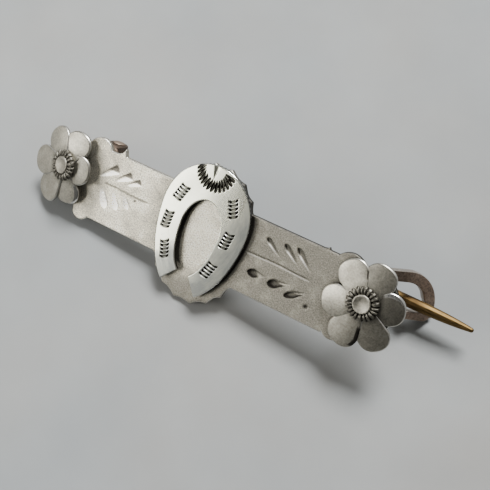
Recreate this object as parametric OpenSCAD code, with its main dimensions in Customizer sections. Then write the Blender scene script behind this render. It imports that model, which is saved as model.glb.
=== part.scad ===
// Horseshoe bar brooch, lying on its back on a level surface.
// Every piece is drawn in the brooch's own axes: X runs along the bar, Y across it towards the toe of
// the horseshoe, Z out of the face, with zero on the face of the bar. The module resting() then lays
// the whole brooch down on its lower cusps, its catch and its hinge end.

/* [Bar] */
// Thickness of the silver sheet of the bar
bar_t = 0.5; // [0.4:0.05:0.8]
// Distance of the bar's upper edge from the centre line
bar_top = 3.6; // [3:0.1:4.2]
// Distance of the bar's lower edge from the centre line
bar_bottom = 4.6; // [4:0.1:5]
// Half the length of the straight part of the bar
bar_half = 15.4; // [15.2:0.1:15.6]
// Radius of the round end under each flower
end_r = 3.3; // [2.8:0.1:3.6]

/* [Centre plaque] */
// Half the width of the cusped plaque behind the horseshoe
plaque_w = 5.8; // [5.4:0.1:6.4]
// Half the height of the cusped plaque
plaque_h = 7.75; // [7.4:0.05:8.2]
// How far the plaque's middle lies below the centre line
plaque_drop = 0.65; // [0.4:0.05:0.9]
// Number of cusps round the plaque
cusps = 24; // [20:2:28]
// Depth of the hollow between two cusps
cusp_depth = 0.3; // [0.1:0.05:0.5]

/* [Horseshoe] */
// Thickness of the horseshoe's sheet
shoe_t = 0.5; // [0.4:0.05:0.7]
// Height of the horseshoe's underside over the bar
shoe_lift = 0.4; // [0.3:0.05:0.6]
// Half the width of the horseshoe
shoe_w = 5.12; // [4.9:0.02:5.3]
// Height of the toe above the centre line
shoe_toe = 7.1; // [6.8:0.05:7.3]
// Depth of the heels below the centre line
shoe_heel = 6.9; // [6.6:0.05:7.1]
// Half the width of the inner opening
inner_w = 2.25; // [2:0.05:2.5]
// Height of the inner arch above the centre line
inner_top = 3.3; // [3:0.05:3.6]
// Turn of the horseshoe on the bar, clockwise
shoe_turn = 4; // [0:0.5:8]

/* [Flowers] */
// Half the width of a petal
petal_r = 1.68; // [1.6:0.02:1.76]
// Thickness of the petals' sheet
petal_t = 0.35; // [0.3:0.05:0.45]
// Radius of the notched ring
ring_r = 1.75; // [1.6:0.05:1.85]
// Radius of the plain disc in the ring
disc_r = 0.95; // [0.8:0.05:1.05]

/* [Catch] */
// Thickness of the catch's sheet
catch_t = 0.7; // [0.6:0.05:0.9]
// Radius of the catch's bow, outside
bow_r = 4.5; // [4.4:0.05:4.6]
// Width of the catch's band
band_w = 1.6; // [1.5:0.05:1.7]
// Angle between the catch and a plane square to the bar
catch_turn = 40; // [38:1:42]

/* [Pin and hinge] */
// Radius of the pin's wire
pin_r = 0.62; // [0.5:0.02:0.62]
// Radius of the hinge's barrel
barrel_r = 1.05; // [0.95:0.05:1.15]
// Length of the hinge's barrel
barrel_l = 5.1; // [4.5:0.1:5.4]
// Radius of the rivet through the hinge
rivet_r = 0.4; // [0.35:0.05:0.5]
// Angle the pin has swung away from the bar
pin_swing = 0; // [0:5:180]

/* [Resting] */
// Lean of the face back from lying flat
rest_lean = 34.23; // [30:0.01:40]
// Rise of the bar towards the catch
rest_rise = 4.8; // [4:0.01:6]

/* [Hidden] */
$fn = 48;
// Play of the pin's eye on its rivet, and the seam left where two pieces are soldered or riveted
play = 0.05;
seam = 0.02;
// How far the tool of a shallow cut stands above the face
above = 1;
// Middle of the resting brooch's box, which becomes the origin
middle_x = 3.39;
middle_y = -0.29;

// Outline of the cusped plaque: an ellipse whose radius dips between two cusps
touch_angle = 270 - 180 / cusps;
function plaque_r(a) = plaque_w * plaque_h / sqrt(pow(plaque_h * cos(a), 2) + pow(plaque_w * sin(a), 2));
function dip(turns) = cusp_depth * sin(180 * (turns - floor(turns)));
steps_per_cusp = 6;
plaque_outline = [
    for (i = [0 : cusps * steps_per_cusp - 1])
        let (a = touch_angle + i * 360 / cusps / steps_per_cusp, r = plaque_r(a) - dip(i / steps_per_cusp))
            [r * cos(a), r * sin(a) - plaque_drop]
];

// The brooch is let down on the back edge of the plaque's lowest cusp
touch = [plaque_outline[0][0], plaque_outline[0][1], -bar_t];
touch_height = -sin(-rest_rise) * touch[0]
    + cos(rest_rise) * (sin(rest_lean) * touch[1] + cos(rest_lean) * touch[2]);

// Columns: middle x, middle y, length, width, angle of the leaf's tip from +X
right_leaves = [
    [7.9, 1.45, 2.1, 0.62, -30],
    [10.0, 1.5, 2.4, 0.66, -33],
    [11.4, 1.6, 2.4, 0.7, -37],
    [7.0, -1.85, 1.9, 0.8, 24],
    [9.7, -1.8, 2.3, 0.8, 32],
    [11.6, -2.1, 2.1, 0.8, 38],
];
left_leaves = [
    [-12.55, 1.2, 2.3, 0.75, -144],
    [-10.7, 1.3, 1.8, 0.7, -142],
    [-9.3, 1.25, 1.5, 0.6, -151],
    [-12.6, -1.6, 2.5, 0.8, 123],
    [-11.15, -1.35, 2.2, 0.75, 115],
    [-9.75, -0.9, 1.7, 0.7, 131],
];
// Stems: from x, to x
right_stem = [5.4, 12.7];
left_stem = [-12.8, -6.9];
stem_y = -0.1;
stem_w = 0.25;
// Depth of the cut leaves and stems
cut_depth = 0.12;

// Columns: centre x, centre y, radius; the rounded corners of the bar, and the two side cusps
corner_lobes = [
    [-14.4, 3.0, 1.55],
    [15.85, 2.5, 1.8],
    [-14.9, -4.1, 1.1],
    [16.4, -3.7, 1.2],
];
// Columns: x of the cusp, its height over the bar's edge, its breadth as a share of that height
side_cusps = [
    [-11.35, 0.85, 1.2],
    [13.3, 0.25, 2.4],
];
// How far a side cusp reaches down into the bar
cusp_root = 0.2;

// Flower places: x, y, height of the middle over the bar, tilt about the bar's cross line
left_place = [-17.63, 0.25, 1.3, -16];
right_place = [18.5, 0.4, 1.0, -5];
// Half the width of a petal's root, then for each petal the angle of its axis and its reach
root_w = 0.5;
left_petals = [[125, 4.2], [72, 4.3], [11, 4.3], [-54, 4.5], [-110, 4.8], [-171, 4.6]];
right_petals = [[130, 4.4], [74, 4.5], [13, 4.5], [-49, 4.8], [-101, 4.9], [-163, 4.15]];

// Pin line: the pivot, where the pin's axis lies in the catch, the pin's length and its even part
pivot = [-14.1, 1.3, -2.9];
pin_in_catch = [21.97, 0.45, -5.7];
pin_line = pin_in_catch - pivot;
pin_to_catch = norm(pin_line);
pin_yaw = atan2(pin_line[1], pin_line[0]);
pin_dip = asin(-pin_line[2] / pin_to_catch);
pin_length = 42.7;
pin_straight = 34;
// The wire thins slowly up to this distance and radius, then quickly to the radius of its blunt point
pin_thin_at = 40.4;
pin_thin_r = 0.54;
pin_tip_r = 0.3;
// Radius and length of the neck where the wire swells into its eye
neck_r = 0.74;
neck_l = 1.6;
// Length of the pin's eye, and the gap to each knuckle
eye_l = 1.5;
knuckle_gap = 0.1;

// Catch: where its plane meets the back of the bar, then, in that plane, the middles and radii of its arcs;
// the hole lies a little higher than the bow, so the band is thinner at the top
catch_foot = [17.6, 0, -bar_t];
bow_at = [5.0, -0.6];
hole_lift = 0.22;
hole_at = bow_at + [0, hole_lift];
hole_r = bow_r + hole_lift - band_w;
corner_at = [8.55, -0.45];
corner_r = 0.85;
inner_at = [7.35, 0.4];
inner_r = 0.77;
lip_at = [6.3, -0.82];
lip_r = 0.45;
// The band's root: x inside the bar, outer y, inner y
catch_root = [-1, 3.6, 2.5];

module resting() {
    translate([-middle_x, -middle_y, -touch_height])
        rotate([rest_lean, -rest_rise, 0])
            children();
}

// Outline of the horseshoe: an upper and a lower ellipse that meet at the widest place
shoe_mid = 1.4;
heel_x = 2.2;
shoe_low = (shoe_heel + shoe_mid) / sqrt(1 - pow(heel_x / shoe_w, 2));
inner_low_end = 5.05;
inner_end_x = 0.75;
inner_low = inner_low_end / sqrt(1 - pow(inner_end_x / inner_w, 2));
function bend(w, up, low, mid, a) = [w * cos(a), mid + (a >= 0 && a <= 180 ? up : low) * sin(a)];
shoe_x = -0.1;
shoe_from = -asin((shoe_heel + shoe_mid) / shoe_low);
inner_from = -asin(inner_low_end / inner_low);
shoe_steps = 56;
inner_steps = 44;
shoe_outer = [
    for (i = [0 : shoe_steps])
        bend(shoe_w, shoe_toe - shoe_mid, shoe_low, shoe_mid, shoe_from + i * (180 - 2 * shoe_from) / shoe_steps)
];
shoe_inner = [
    for (i = [inner_steps : -1 : 0])
        bend(inner_w, inner_top, inner_low, 0, inner_from + i * (180 - 2 * inner_from) / inner_steps)
];
// The toe clip: a small three-cornered recess at the top of the horseshoe, its two upper corners and its point
clip_left = -1.2;
clip_right = -0.4;
clip_point = -0.63;
clip_d = 1.5;
mark_depth = 0.12;
// Nail marks: middle x, middle y, direction of the arm
nail_marks = [
    [-3.27, 2.97, 67],
    [-3.96, -0.33, 85],
    [-3.29, -3.46, 106],
    [2.76, 3.61, -58],
    [3.13, 0.21, -83],
    [2.25, -3.5, -113],
];
mark_w = 0.95;
mark_pitch = 0.4;
mark_cut = 0.16;
mark_count = 5;
// The crescent of dashes below the toe clip
crescent_at = [-0.22, 6.55];
crescent_in = 1.1;
crescent_out = 2.25;
crescent_count = 14;
crescent_step = 13;
// Direction of the middle of the crescent
crescent_way = -92;
// Solder pads under the horseshoe: their places
shoe_pads = [[0, 5], [-3.7, 1.2], [3.7, 1.2], [-3, -4.2], [3, -4.2]];
pad_r = 0.7;

// A side cusp: a steep right flank, a peak over its middle and a hollow left flank
module cusp_2d(x, h, w) {
    translate([x, bar_top])
        polygon([
            [-w * 0.9, -cusp_root],
            [w * 0.5, -cusp_root],
            [w * 0.25, 0],
            [0, h],
            [-w * 0.35, h * 0.3],
            [-w * 0.9, 0]
        ]);
}

module plate_2d() {
    translate([-bar_half, -bar_bottom])
        square([2 * bar_half, bar_bottom + bar_top]);
    polygon(plaque_outline);
    for (lobe = corner_lobes)
        translate([lobe[0], lobe[1]])
            circle(lobe[2]);
    for (cusp = side_cusps)
        cusp_2d(cusp[0], cusp[1], cusp[1] * cusp[2]);
    translate([left_place[0], left_place[1]])
        circle(end_r);
    translate([right_place[0], right_place[1]])
        circle(end_r);
}

// A pointed leaf with its tip towards +X and a blunt end
module leaf_2d(length, width) {
    polygon([
        [-length / 2, -width * 0.3],
        [-length * 0.3, -width / 2],
        [length * 0.1, -width * 0.32],
        [length / 2, 0],
        [length * 0.1, width * 0.32],
        [-length * 0.3, width / 2],
        [-length / 2, width * 0.3]
    ]);
}

// A sprig's cuts reach down from above the face
module sprig_cuts(leaves, stem) {
    for (leaf = leaves)
        translate([leaf[0], leaf[1], -cut_depth])
            rotate(leaf[4])
                linear_extrude(above)
                    leaf_2d(leaf[2], leaf[3]);
    translate([stem[0], stem_y - stem_w / 2, -cut_depth / 2])
        cube([stem[1] - stem[0], stem_w, above]);
}

// The bar, its cusped plaque and its shaped ends are one sheet with two engraved sprigs
module bar_plate() {
    color([0.80, 0.78, 0.74])
        resting()
            difference() {
                translate([0, 0, -bar_t])
                    linear_extrude(bar_t)
                        plate_2d();
                sprig_cuts(right_leaves, right_stem);
                sprig_cuts(left_leaves, left_stem);
            }
}

module shoe_2d() {
    polygon(concat(shoe_outer, shoe_inner));
}

module toe_clip() {
    translate([0, shoe_toe, shoe_lift + shoe_t - mark_depth])
        linear_extrude(above)
            polygon([[clip_left, above], [clip_left, 0], [clip_point, -clip_d], [clip_right, 0], [clip_right, above]]);
}

module shoe_marks() {
    top = shoe_lift + shoe_t - mark_depth;
    for (m = nail_marks)
        translate([m[0], m[1], top])
            rotate(m[2])
                for (i = [0 : mark_count - 1])
                    translate([(i - (mark_count - 1) / 2) * mark_pitch - mark_cut / 2, -mark_w / 2, 0])
                        cube([mark_cut, mark_w, above]);
    for (i = [0 : crescent_count - 1])
        translate([crescent_at[0], crescent_at[1], top])
            rotate(crescent_way + (i - (crescent_count - 1) / 2) * crescent_step)
                translate([crescent_in, -mark_cut / 2, 0])
                    cube([crescent_out - crescent_in, mark_cut, above]);
}

// The horseshoe stands clear of the bar on small solder pads
module horseshoe() {
    color([0.88, 0.88, 0.86])
        resting()
            difference() {
                union() {
                    translate([shoe_x, 0, shoe_lift])
                        rotate(-shoe_turn)
                            linear_extrude(shoe_t)
                                shoe_2d();
                    for (p = shoe_pads)
                        translate([p[0], p[1], seam])
                            cylinder(r = pad_r, h = shoe_lift + shoe_t / 2);
                }
                rotate(-shoe_turn)
                    toe_clip();
                shoe_marks();
            }
}

// One petal along +X: a round end and a tapered root
module petal_2d(reach) {
    centre = reach - petal_r;
    translate([centre, 0])
        circle(petal_r);
    polygon([[0, -root_w], [centre, -petal_r], [centre, petal_r], [0, root_w]]);
}

// The ring's height over the middle of the petals' sheet, and the sunk disc's
ring_h = 0.38;
disc_h = 0.2;
notches = 20;
notch_w = 0.2;
notch_h = 0.15;
post_r = 1.3;

module flower_ring() {
    difference() {
        cylinder(r = ring_r, h = ring_h);
        translate([0, 0, disc_h])
            cylinder(r = disc_r, h = above);
        for (i = [0 : notches - 1])
            rotate(i * 360 / notches)
                translate([disc_r / 2, -notch_w / 2, ring_h - notch_h])
                    cube([ring_r, notch_w, above]);
    }
}

// A six-petalled flower on a round post that stands on the face of the bar
module flower(place, petals) {
    resting() {
        translate([place[0], place[1], place[2]])
            rotate([0, place[3], 0]) {
                translate([0, 0, -petal_t / 2])
                    linear_extrude(petal_t)
                        for (p = petals)
                            rotate(p[0])
                                petal_2d(p[1]);
                flower_ring();
            }
        translate([place[0], place[1], seam])
            cylinder(r = post_r, h = place[2] - seam);
    }
}

module left_flower() {
    color([0.74, 0.73, 0.71])
        flower(left_place, left_petals);
}

module right_flower() {
    color([0.80, 0.79, 0.75])
        flower(right_place, right_petals);
}

function arc(at, r, from, to, steps) =
    [for (i = [0 : steps]) at + r * [cos(from + i * (to - from) / steps), sin(from + i * (to - from) / steps)]];

// The catch, flat in its own plane: X away from the bar, Y up; an open hook with a short lip
module catch_2d() {
    polygon(concat(
        [[catch_root[0], catch_root[1]]],
        arc(bow_at, bow_r, 95, -4, 24),
        arc(corner_at, corner_r, -20, -90, 8),
        arc(lip_at, lip_r, -90, -270, 12),
        arc(inner_at, inner_r, -90, 60, 12),
        arc(hole_at, hole_r, 42, 90, 14),
        [[catch_root[0], catch_root[2]]]
    ));
}

module catch() {
    color([0.42, 0.37, 0.33])
        resting()
            difference() {
                translate(catch_foot)
                    rotate([0, 90 - catch_turn, 0])
                        linear_extrude(catch_t, center = true)
                            catch_2d();
                translate([0, -bar_bottom, -bar_t - seam])
                    cube([2 * catch_foot[0], 2 * bar_bottom, bow_r]);
            }
}

module barrel_piece(from, to) {
    translate([pivot[0], pivot[1] + from, pivot[2]])
        rotate([-90, 0, 0])
            cylinder(r = barrel_r, h = to - from);
}

module knuckle(from, to) {
    barrel_piece(from, to);
    translate([pivot[0] - barrel_r, pivot[1] + from, pivot[2]])
        cube([2 * barrel_r, to - from, -bar_t - seam - pivot[2]]);
}

// Width along the bar and thickness of the hinge's base
base_w = 3.0;
base_h = 0.4;

// Two knuckles on a small base, soldered to the back of the bar
module hinge() {
    color([0.40, 0.36, 0.33])
        resting()
            difference() {
                union() {
                    knuckle(-barrel_l / 2, -eye_l / 2 - knuckle_gap);
                    knuckle(eye_l / 2 + knuckle_gap, barrel_l / 2);
                    translate([pivot[0] - base_w / 2, pivot[1] - barrel_l / 2, -bar_t - base_h])
                        cube([base_w, barrel_l, base_h - seam]);
                }
                translate([pivot[0], pivot[1] - barrel_l, pivot[2]])
                    rotate([-90, 0, 0])
                        cylinder(r = rivet_r + seam, h = 2 * barrel_l);
            }
}

// Radius and thickness of the rivet's heads
head_r = 0.7;
head_h = 0.2;

module hinge_rivet() {
    color([0.52, 0.50, 0.47])
        resting()
            translate([pivot[0], pivot[1] - barrel_l / 2, pivot[2]])
                rotate([-90, 0, 0]) {
                    translate([0, 0, -seam])
                        cylinder(r = rivet_r, h = barrel_l + 2 * seam);
                    translate([0, 0, -head_h - seam])
                        cylinder(r = head_r, h = head_h);
                    translate([0, 0, barrel_l + seam])
                        cylinder(r = head_r, h = head_h);
                }
}

// The pin: an eye on the rivet, a straight wire and a tapered, blunt point
module pin_stem() {
    color([0.62, 0.48, 0.24])
        resting()
            translate(pivot)
                rotate([0, pin_swing, 0])
                    difference() {
                        union() {
                            translate([0, -eye_l / 2, 0])
                                rotate([-90, 0, 0])
                                    cylinder(r = barrel_r, h = eye_l);
                            rotate([0, pin_dip, pin_yaw])
                                rotate([0, 90, 0]) {
                                    cylinder(r1 = neck_r, r2 = pin_r, h = neck_l);
                                    translate([0, 0, neck_l])
                                        cylinder(r = pin_r, h = pin_straight - neck_l);
                                    translate([0, 0, pin_straight])
                                        cylinder(r1 = pin_r, r2 = pin_thin_r, h = pin_thin_at - pin_straight);
                                    translate([0, 0, pin_thin_at])
                                        cylinder(r1 = pin_thin_r, r2 = pin_tip_r, h = pin_length - pin_tip_r - pin_thin_at);
                                    translate([0, 0, pin_length - pin_tip_r])
                                        sphere(r = pin_tip_r);
                                }
                        }
                        translate([0, -barrel_l, 0])
                            rotate([-90, 0, 0])
                                cylinder(r = rivet_r + play, h = 2 * barrel_l);
                    }
}

bar_plate();
horseshoe();
left_flower();
right_flower();
catch();
hinge();
hinge_rivet();
pin_stem();
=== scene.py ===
"""Looks of a horseshoe bar brooch in worn silver with a brass pin.

Shapes are worked out in the brooch's own axes in millimetres, X along the bar, Y towards the toe of the
horseshoe and Z out of the face, and laid down afterwards with the lean and rise of the resting brooch.
"""

from collections import namedtuple

import bpy
import numpy as np
from mathutils import Matrix, Vector


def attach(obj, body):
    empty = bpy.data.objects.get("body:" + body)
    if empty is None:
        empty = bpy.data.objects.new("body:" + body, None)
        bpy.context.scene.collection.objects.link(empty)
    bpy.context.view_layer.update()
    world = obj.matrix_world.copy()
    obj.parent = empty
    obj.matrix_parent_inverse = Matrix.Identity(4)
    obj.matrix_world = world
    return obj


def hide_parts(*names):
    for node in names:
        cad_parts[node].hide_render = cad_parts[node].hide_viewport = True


bl_info = {
    "name": "Horseshoe brooch",
    "version": (1, 0, 0),
    "blender": (4, 5, 0),
    "location": "3D View > Sidebar > Brooch",
    "description": "Builds the worn silver and brass surfaces of a horseshoe bar brooch",
    "category": "Object",
}

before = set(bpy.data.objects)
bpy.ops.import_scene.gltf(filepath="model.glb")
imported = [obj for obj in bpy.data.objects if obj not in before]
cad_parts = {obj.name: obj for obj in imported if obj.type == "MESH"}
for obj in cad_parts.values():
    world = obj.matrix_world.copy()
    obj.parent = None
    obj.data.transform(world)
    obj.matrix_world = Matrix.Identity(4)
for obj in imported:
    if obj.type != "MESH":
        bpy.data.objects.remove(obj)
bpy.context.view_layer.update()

# Resting place: the columns are the brooch's own axes seen in the shared frame, then the move in mm
LEAN = np.radians(34.23)
RISE = np.radians(4.8)
TURN = np.array([
    [np.cos(RISE), -np.sin(RISE) * np.sin(LEAN), -np.sin(RISE) * np.cos(LEAN)],
    [0.0, np.cos(LEAN), -np.sin(LEAN)],
    [np.sin(RISE), np.cos(RISE) * np.sin(LEAN), np.cos(RISE) * np.cos(LEAN)],
])
MOVE = np.array([-3.39, 0.29, 5.13889763])

# Bar and plaque, in mm; the bar's face lies at height zero
BAR_T = 0.5
BAR_TOP = 3.6
BAR_BOTTOM = 4.6
BAR_HALF = 15.4
END_R = 3.3
PLAQUE_W = 5.8
PLAQUE_H = 7.75
PLAQUE_DROP = 0.65
CUSPS = 24
CUSP_DEPTH = 0.3
# Lobes: x, y and radius. Side cusps: x, height, stretch along the bar
LOBES = [(-14.4, 3.0, 1.55), (15.85, 2.5, 1.8), (-14.9, -4.1, 1.1), (16.4, -3.7, 1.2)]
SIDE_CUSPS = [(-11.35, 0.85, 1.2), (13.3, 0.25, 2.4)]

# A leaf: middle, length, width, angle of the thin end, place of the widest part (0 thin end, 1 broad end),
# power by which it widens, side of the deep wall (1 is left of the way from thin to broad end); then its dark
# part, patina in the cut with painted shade on the wall turned from the light: strength, where along it this
# begins, slant; and its painted highlight on the lit wall: strength, from side, to side
Leaf = namedtuple("Leaf", "x y length width tip widest power side dark dark_from slant "
                          "bright bright_low bright_high")
LEAVES = [Leaf(*row) for row in (
    (7.95, 1.4, 2.5, 0.62, -36, 0.8, 0.6, 1, 0.93, 0.93, 0.22, 1.0, 0.62, 1.0),
    (10.05, 1.45, 2.8, 0.68, -38, 0.8, 0.6, 1, 0.93, 0.92, 0.22, 1.0, 0.62, 1.0),
    (11.45, 1.5, 3.0, 0.7, -42, 0.78, 0.7, 1, 0.93, 0.9, 0.22, 1.0, 0.62, 1.0),
    (7.2, -1.95, 2.4, 1.05, 8, 0.66, 1.3, -1, 0.98, 0.52, -0.1, 0.0, 0, 1),
    (9.75, -1.85, 2.8, 1.1, 22, 0.7, 1.3, -1, 0.98, 0.45, -0.28, 0.0, 0, 1),
    (11.7, -2.1, 2.7, 0.85, 30, 0.6, 1.1, -1, 0.98, 0.42, -0.36, 0.0, 0, 1),
    (-12.75, 1.15, 3.1, 1.15, -144, 0.93, 0.75, 1, 0.72, 0.76, 0.26, 1.0, -1.2, 0.1),
    (-10.85, 1.2, 2.7, 1.0, -146, 0.93, 0.75, 1, 0.72, 0.78, 0.26, 1.0, -1.2, 0.1),
    (-9.45, 1.15, 2.2, 0.85, -151, 0.93, 0.8, 1, 0.75, 0.78, 0.26, 0.9, -1.2, 0.1),
    (-12.6, -1.55, 2.6, 1.1, 118, 0.72, 0.55, 1, 0.0, 1, 0, 1.0, -1.2, 0.6),
    (-11.1, -1.3, 2.3, 0.95, 115, 0.74, 0.55, 1, 0.0, 1, 0, 1.0, -1.2, 0.6),
    (-9.75, -0.95, 1.8, 0.85, 124, 0.72, 0.6, 1, 0.0, 1, 0, 0.85, -1.2, 0.5),
)]
# Stems: from x, to x, y. Pits, and the stained ground round each flower: x, y, radius
STEMS = [(5.4, 12.7, -0.1), (-12.8, -6.9, -0.1)]
PITS = [(-8.63, -0.47, 0.18), (13.1, -2.85, 0.34)]
STAINED = [(-17.6, 0.2, 4.2), (18.5, 0.4, 4.6)]

# Horseshoe, in mm: lift off the bar, thickness, half width, ways from the bar's middle to toe and heels,
# height of the widest place; the opening's half width, top and end; half the way between the heels' outer
# and inner corners; then the turn clockwise in degrees and the move along the bar
SHOE_LIFT = 0.4
SHOE_T = 0.5
SHOE_W = 5.12
SHOE_TOE = 7.1
SHOE_HEEL = 6.9
SHOE_MID = 1.4
INNER_W = 2.25
INNER_TOP = 3.3
INNER_END = 5.05
HEEL_OUT = 2.2
HEEL_IN = 0.75
SHOE_TURN = 4.0
SHOE_X = -0.1
# Toe clip: left and right corner and point. Nail marks: x, y and angle of each row, then the pitch, number
# and half length of its strokes. Crescent: middle, inner and outer radius, then the number of its strokes,
# the step between them and the way of their middle in degrees. Solder pads: x, y, then the radius
CLIP = [(-1.2, 7.1), (-0.3, 7.1), (-0.63, 5.5)]
NAILS = [(-3.27, 2.97, 67), (-3.96, -0.33, 85), (-3.29, -3.46, 106), (2.76, 3.61, 108), (3.13, 0.21, 80),
         (2.25, -3.5, 67)]
NAIL_PITCH = 0.4
NAIL_COUNT = 5
NAIL_HALF = 0.52
CRESCENT_AT = (-0.22, 6.6)
CRESCENT_IN = 1.05
CRESCENT_OUT = 2.35
CRESCENT_COUNT = 14
CRESCENT_STEP = 13
CRESCENT_WAY = -92
PADS = [(0, 5), (-3.7, 1.2), (3.7, 1.2), (-3, -4.2), (3, -4.2)]
PAD_R = 0.7

# Flowers: x, y, height and tilt of the middle. A petal: angle round the flower, reach, drop of its tip and
# roll of its side in degrees, staining, partly real and partly painted shade on facets turned from the light,
# painted shade, width in mm of the painted shadow beside it, whose sign says the side, and the painted
# highlight along its edge
Petal = namedtuple("Petal", "angle reach drop roll stain shade slit glint")
LEFT_PLACE = (-17.63, 0.25, 1.3, -16)
RIGHT_PLACE = (18.5, 0.4, 1.0, -5)
LEFT_PETALS = [Petal(*row) for row in (
    (133, 4.5, 6, 0, 0.4, 0.0, 0, 0),
    (76.4, 4.1, 14, -12, 0.0, 0.06, 0, 0),
    (3, 3.15, 20, 0, 0.3, 0.0, 0, 0),
    (-76, 4.25, 14, 10, 0.2, 0.0, 0, 1),
    (-120, 5.3, 5, 0, 0.85, 0.04, 0, 0),
    (-169, 4.9, 2, 0, 0.85, 0.1, 0, 0),
)]
RIGHT_PETALS = [Petal(*row) for row in (
    (131, 4.45, 3, 0, 0.25, 0.1, -0.3, 0),
    (77, 4.4, 6, -4, 0.5, 0.36, 0, 0),
    (11.5, 4.1, 10, -5, 0.4, 0.55, 0, 1),
    (-54, 4.9, 9, 3, 0.4, 0.36, 0, 0),
    (-105, 5.2, 5, 0, 0.35, 0.17, 0.42, 0),
    (-160, 4.4, 3, 0, 0.2, 0.06, 0, 0),
)]
# Each flower with its petals and its middle's staining, depth of tone in the notches and of the painted shade
# round the ring, and tone of the ring's top
FLOWERS = {
    "left": (LEFT_PLACE, LEFT_PETALS, (1.0, 0.5, 0.5)),
    "right": (RIGHT_PLACE, RIGHT_PETALS, (0.7, 0.86, 0.6)),
}
PETAL_R = 1.68
PETAL_T = 0.35
PETAL_POWER = 2.3
ROOT_W = 0.5
NOTCHES = 21
POST_R = 1.3

# Catch, in mm: foot under the bar and turn; then, in its own sheet, outer and inner corner of its root, and
# middles and radii of its arcs
CATCH_FOOT = (17.6, 0, -0.5)
CATCH_TURN = 40
CATCH_T = 0.7
CATCH_EDGE = 0.08
ROOT_OUT = (0.1, 3.655)
ROOT_IN = (0.1, 2.523)
BOW_AT, BOW_R = (5.0, -0.6), 4.5
HOLE_AT, HOLE_R = (5.0, -0.38), 3.12
CORNER_AT, CORNER_R = (8.55, -0.45), 0.85
LIP_AT, LIP_R = (6.3, -0.82), 0.45
INNER_AT, INNER_R = (7.35, 0.4), 0.77

# Hinge and rivet, in mm
PIVOT = np.array([-14.1, 1.3, -2.9])
BARREL_R = 1.05
BARREL_L = 5.1
EYE_L = 1.5
KNUCKLE_GAP = 0.1
RIVET_R = 0.4
HEAD_R = 0.7
HEAD_H = 0.2
BASE_W = 3.0
BASE_H = 0.4
PLAY = 0.05
SEAM = 0.02

# Pin, in mm: lengths run from the rivet's middle; past its straight part the wire thins by the taper's power
PIN_IN_CATCH = np.array([21.97, 0.45, -5.7])
PIN_R = 0.62
PIN_LENGTH = 42.7
PIN_STRAIGHT = 34.0
PIN_TIP_R = 0.25
TAPER = 3.2
WIRE_FROM = 0.75
FLARE = 0.12
STAINED_AT = 36.3

# Metals: settings that hold the clean colour, the colour taken where stained or where shade is painted, the
# colour of rubbed edges and painted highlights, the roughness and its spread, the fineness and bump of the
# grain, how much it speckles the colour, metallic, and the pattern's stretch
METALS = {
    "frosted_bar": dict(clean="frosted", stained="stain", bright=(0.95, 0.93, 0.88), rough=0.38,
                        spread=0.25, fineness=7.0, bump=0.5, speckle=3.6, metallic=0.92),
    "frosted_petals": dict(clean="petals", stained="stain", bright=(0.92, 0.91, 0.88), rough=0.34,
                           spread=0.15, fineness=5.0, bump=0.12, speckle=1.6, metallic=0.95),
    "struck_silver": dict(clean="bright", stained="dulled_and_shaded", bright=(0.97, 0.97, 0.95), rough=0.25,
                          spread=0.04, fineness=5.0, bump=0.012, speckle=0.8, stretch=(0.6, 1.6, 1.0)),
    "tarnished_silver": dict(clean="dark", stained="dark_stain", bright=(0.6, 0.57, 0.52), rough=0.42,
                             spread=0.25, fineness=4.0, bump=0.6, speckle=2.6),
    "worn_brass": dict(clean="brass", stained="brass_stain", bright=(0.8, 0.65, 0.35), rough=0.48,
                       spread=0.25, fineness=6.0, bump=0.3, speckle=3.2),
}
# Depth of the metals' bump, in metres
BUMP_M = 0.00006

# Ways to the middle of the window and of the pale wall behind, and the cosines between which each glows up
WINDOW = (-0.696, -0.504, 0.511)
WINDOW_EDGE = (0.935, 0.965)
BEHIND = (0.2, 0.8, 0.566)
BEHIND_EDGE = (-0.1, 0.9)
# Place, aim and size of the lamp, and half the floor's width, in metres
LAMP_AT = (-0.02, 0.64, 0.768)
LAMP_AIM = (0.0, 0.0, 0.004)
LAMP_SIZE = 0.34
FLOOR_HALF = 0.9

# Camera in the brooch's own axes: place in mm, ways right, up and back, and focal length in photo pixels
CAMERA_AT = np.array([33.2328769, 26.87105119, 77.40065466])
CAMERA_AXES = np.array([(0.85472, 0.30747, -0.41822), (-0.40283, 0.90104, -0.16083),
                        (0.32738, 0.30593, 0.894)])
FOCAL_PX = 850
PHOTO_PX = 490


def lay_down(p):
    """Own axes in mm to the shared frame in metres: the place is turned by rise and lean, then moved."""
    return (p @ TURN.T + MOVE) * 0.001


def step(a, low, high):
    """Smooth step: zero below low, one above high, and 3t^2 - 2t^3 between them."""
    t = np.clip((a - low) / (high - low), 0.0, 1.0)
    return t * t * (3.0 - 2.0 * t)


def cone(off, reach):
    """One at zero, falling evenly to nothing at the reach on both sides."""
    return np.clip(1 - np.abs(off) / reach, 0, 1)


def fade(gap, width):
    """One up to a gap of zero, and exp(-(gap / width)^2) beyond it."""
    return np.exp(-(np.maximum(gap, 0.0) / width) ** 2)


def spun(x, y, degrees):
    """The place x, y turned about the origin: x cos a - y sin a and x sin a + y cos a."""
    a = np.radians(degrees)
    return x * np.cos(a) - y * np.sin(a), x * np.sin(a) + y * np.cos(a)


def eased(count, share):
    """Numbers from 0 to 1 that crowd at both ends: evenly spaced ones mixed with that share of a cosine's."""
    t = np.linspace(0, 1, count)
    return (1 - share) * t + share * (0.5 - 0.5 * np.cos(np.pi * t))


def arc(at, r, start, end, count):
    """Points at + r (cos a, sin a) with the angle a going evenly from start to end, in degrees."""
    a = np.radians(np.linspace(start, end, count))
    return np.stack([at[0] + r * np.cos(a), at[1] + r * np.sin(a)], -1)


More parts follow.
